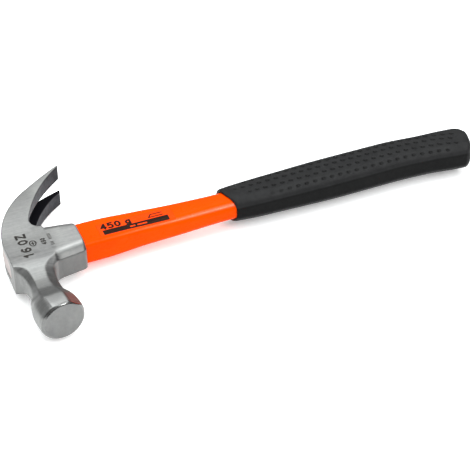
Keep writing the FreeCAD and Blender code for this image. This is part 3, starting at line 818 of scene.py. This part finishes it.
# orange moulding
mt, nt, bs = material("plastic_orange")
oc = ramp(nt, noise(nt, 40.0, 3.0, 0.5), [(0.35, (0.80, 0.054, 0.0)), (0.65, (0.86, 0.062, 0.0))])
nt.links.new(oc, bs.inputs["Base Color"])
nt.links.new(ramp(nt, noise(nt, 300.0, 4.0, 0.6), [(0.3, (0.24,) * 3), (0.7, (0.36,) * 3)]), bs.inputs["Roughness"])
nt.links.new(mix(nt, attr(nt, "ridge"), (0.04, 0.04, 0.04), (0.42, 0.42, 0.42)), bs.inputs["Specular IOR Level"])
nt.links.new(mix(nt, attr(nt, "ridge"), (1.0, 0.6, 0.2), (1.0, 0.9, 0.75)), bs.inputs["Specular Tint"])
nt.links.new(bump(nt, noise(nt, 700.0, 3.0, 0.5), 0.06, 0.0002), bs.inputs["Normal"])
jacket.data.materials.append(mt)

# printed film
mt, nt, bs = material("film_printed")
fc = ramp(nt, noise(nt, 60.0, 2.0, 0.5), [(0.35, (0.84, 0.050, 0.001)), (0.65, (0.90, 0.056, 0.002))])
inkc = ramp(nt, noise(nt, 500.0, 3.0, 0.6), [(0.3, (0.012, 0.006, 0.005)), (0.7, (0.022, 0.009, 0.007))])
nt.links.new(mix(nt, attr(nt, "ink"), fc, inkc), bs.inputs["Base Color"])
nt.links.new(ramp(nt, noise(nt, 260.0, 3.0, 0.6), [(0.3, (0.2,) * 3), (0.7, (0.3,) * 3)]), bs.inputs["Roughness"])
bs.inputs["Specular IOR Level"].default_value = 0.08
bs.inputs["Specular Tint"].default_value = (1.0, 0.6, 0.25, 1.0)
film.data.materials.append(mt)

# black rubber
mt, nt, bs = material("rubber_black")
rc = ramp(nt, noise(nt, 120.0, 4.0, 0.6), [(0.3, (0.0075, 0.0075, 0.008)), (0.7, (0.013, 0.013, 0.0135))])
# painted shade: the rubber made darker in the dimples
rc = mix(nt, math_(nt, "MULTIPLY", attr(nt, "dimple"), 1.7, True), rc, (0.001, 0.001, 0.001))
# painted shade: the grip's narrow sides made darker
rc = mix(nt, math_(nt, "MULTIPLY", attr(nt, "side"), 0.8), rc, (0.003, 0.003, 0.003))
nt.links.new(rc, bs.inputs["Base Color"])
nt.links.new(ramp(nt, noise(nt, 400.0, 4.0, 0.6), [(0.3, (0.46,) * 3), (0.7, (0.60,) * 3)]), bs.inputs["Roughness"])
nt.links.new(mix(nt, attr(nt, "side"), (0.15, 0.15, 0.15), (0.06, 0.06, 0.06)), bs.inputs["Specular IOR Level"])
nt.links.new(bump(nt, noise(nt, 1500.0, 4.0, 0.7), 0.25, 0.0002), bs.inputs["Normal"])
grip.data.materials.append(mt)

# hidden and half hidden CAD pieces
mt, nt, bs = material("resin_cast")
nt.links.new(ramp(nt, noise(nt, 300.0, 4.0, 0.6), [(0.3, (0.34, 0.28, 0.27)), (0.7, (0.45, 0.38, 0.37))]), bs.inputs["Base Color"])
nt.links.new(ramp(nt, noise(nt, 500.0, 3.0, 0.6), [(0.3, (0.35,) * 3), (0.7, (0.55,) * 3)]), bs.inputs["Roughness"])
nt.links.new(bump(nt, noise(nt, 600.0, 3.0, 0.6), 0.2, 0.0003), bs.inputs["Normal"])
mt2, nt, bs = material("fibreglass_rod")
nt.links.new(ramp(nt, noise(nt, 200.0, 5.0, 0.6, (0.05, 1.0, 1.0)), [(0.3, (0.55, 0.50, 0.34)), (0.7, (0.72, 0.68, 0.50))]), bs.inputs["Base Color"])
nt.links.new(ramp(nt, noise(nt, 400.0, 3.0, 0.6), [(0.3, (0.4,) * 3), (0.7, (0.6,) * 3)]), bs.inputs["Roughness"])
nt.links.new(bump(nt, noise(nt, 300.0, 3.0, 0.6, (0.05, 1.0, 1.0)), 0.3, 0.0003), bs.inputs["Normal"])
for nm, mm in (("eye_resin", mt), ("shaft_core", mt2)):
    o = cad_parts[nm]
    o.data.materials.clear()
    o.data.materials.append(mm)

# ------------------------------------------------------------------ floor and light
fl_z = cad_lo.z - 0.0002
me = bpy.data.meshes.new("floor")
me.from_pydata([(-4, -4, fl_z), (4, -4, fl_z), (4, 4, fl_z), (-4, 4, fl_z)], [], [(0, 1, 2, 3)])
floor = bpy.data.objects.new("floor", me)
scene.collection.objects.link(floor)
mt, nt, bs = material("floor_pale")
nt.links.new(ramp(nt, noise(nt, 3.0, 2.0, 0.5), [(0.3, (0.93, 0.93, 0.93)), (0.7, (0.94, 0.94, 0.94))]), bs.inputs["Base Color"])
bs.inputs["Roughness"].default_value = 0.9
bs.inputs["Specular IOR Level"].default_value = 0.1
bs.inputs["Emission Color"].default_value = (1.0, 1.0, 1.0, 1.0)
bs.inputs["Emission Strength"].default_value = 0.30
me.materials.append(mt)

w = bpy.data.worlds.new("studio")
scene.world = w
w.use_nodes = True
wt = w.node_tree
wc = wt.nodes.new("ShaderNodeTexCoord")
wx = wt.nodes.new("ShaderNodeSeparateXYZ")
wt.links.new(wc.outputs["Generated"], wx.inputs[0])
wr = wt.nodes.new("ShaderNodeValToRGB")
for (pos, g_) in ((0.35, 0.30), (0.64, 0.55)):
    e = wr.color_ramp.elements.new(pos)
    e.color = (g_, g_, g_, 1.0)
wr.color_ramp.elements[0].color = (0.14, 0.14, 0.145, 1.0)
wr.color_ramp.elements[-1].color = (0.7, 0.85, 0.85, 1.0)
wt.links.new(wx.outputs["Z"], wr.inputs["Fac"])
wt.links.new(wr.outputs["Color"], wt.nodes["Background"].inputs["Color"])
wt.nodes["Background"].inputs["Strength"].default_value = 1.0


def area(name, loc, target, size, power, color=(1, 1, 1)):
    ld = bpy.data.lights.new(name, "AREA")
    ld.shape = "RECTANGLE"
    ld.size, ld.size_y = size
    ld.energy = power
    ld.color = color
    ob = bpy.data.objects.new(name, ld)
    scene.collection.objects.link(ob)
    ob.location = loc
    d = Vector(target) - Vector(loc)
    ob.rotation_mode = "QUATERNION"
    ob.rotation_quaternion = d.to_track_quat("-Z", "Y")
    return ob


area("overhead", (0.0, 0.1, 1.8), (0.0, 0.0, 0.0), (3.2, 3.2), 75.0)
area("front", (0.45, -0.95, 1.0), (0.0, 0.0, 0.0), (0.38, 0.32), 7.0)

scene.view_settings.view_transform = "Standard"
scene.view_settings.look = "None"
scene.view_settings.exposure = 0.0
scene.view_settings.gamma = 1.0
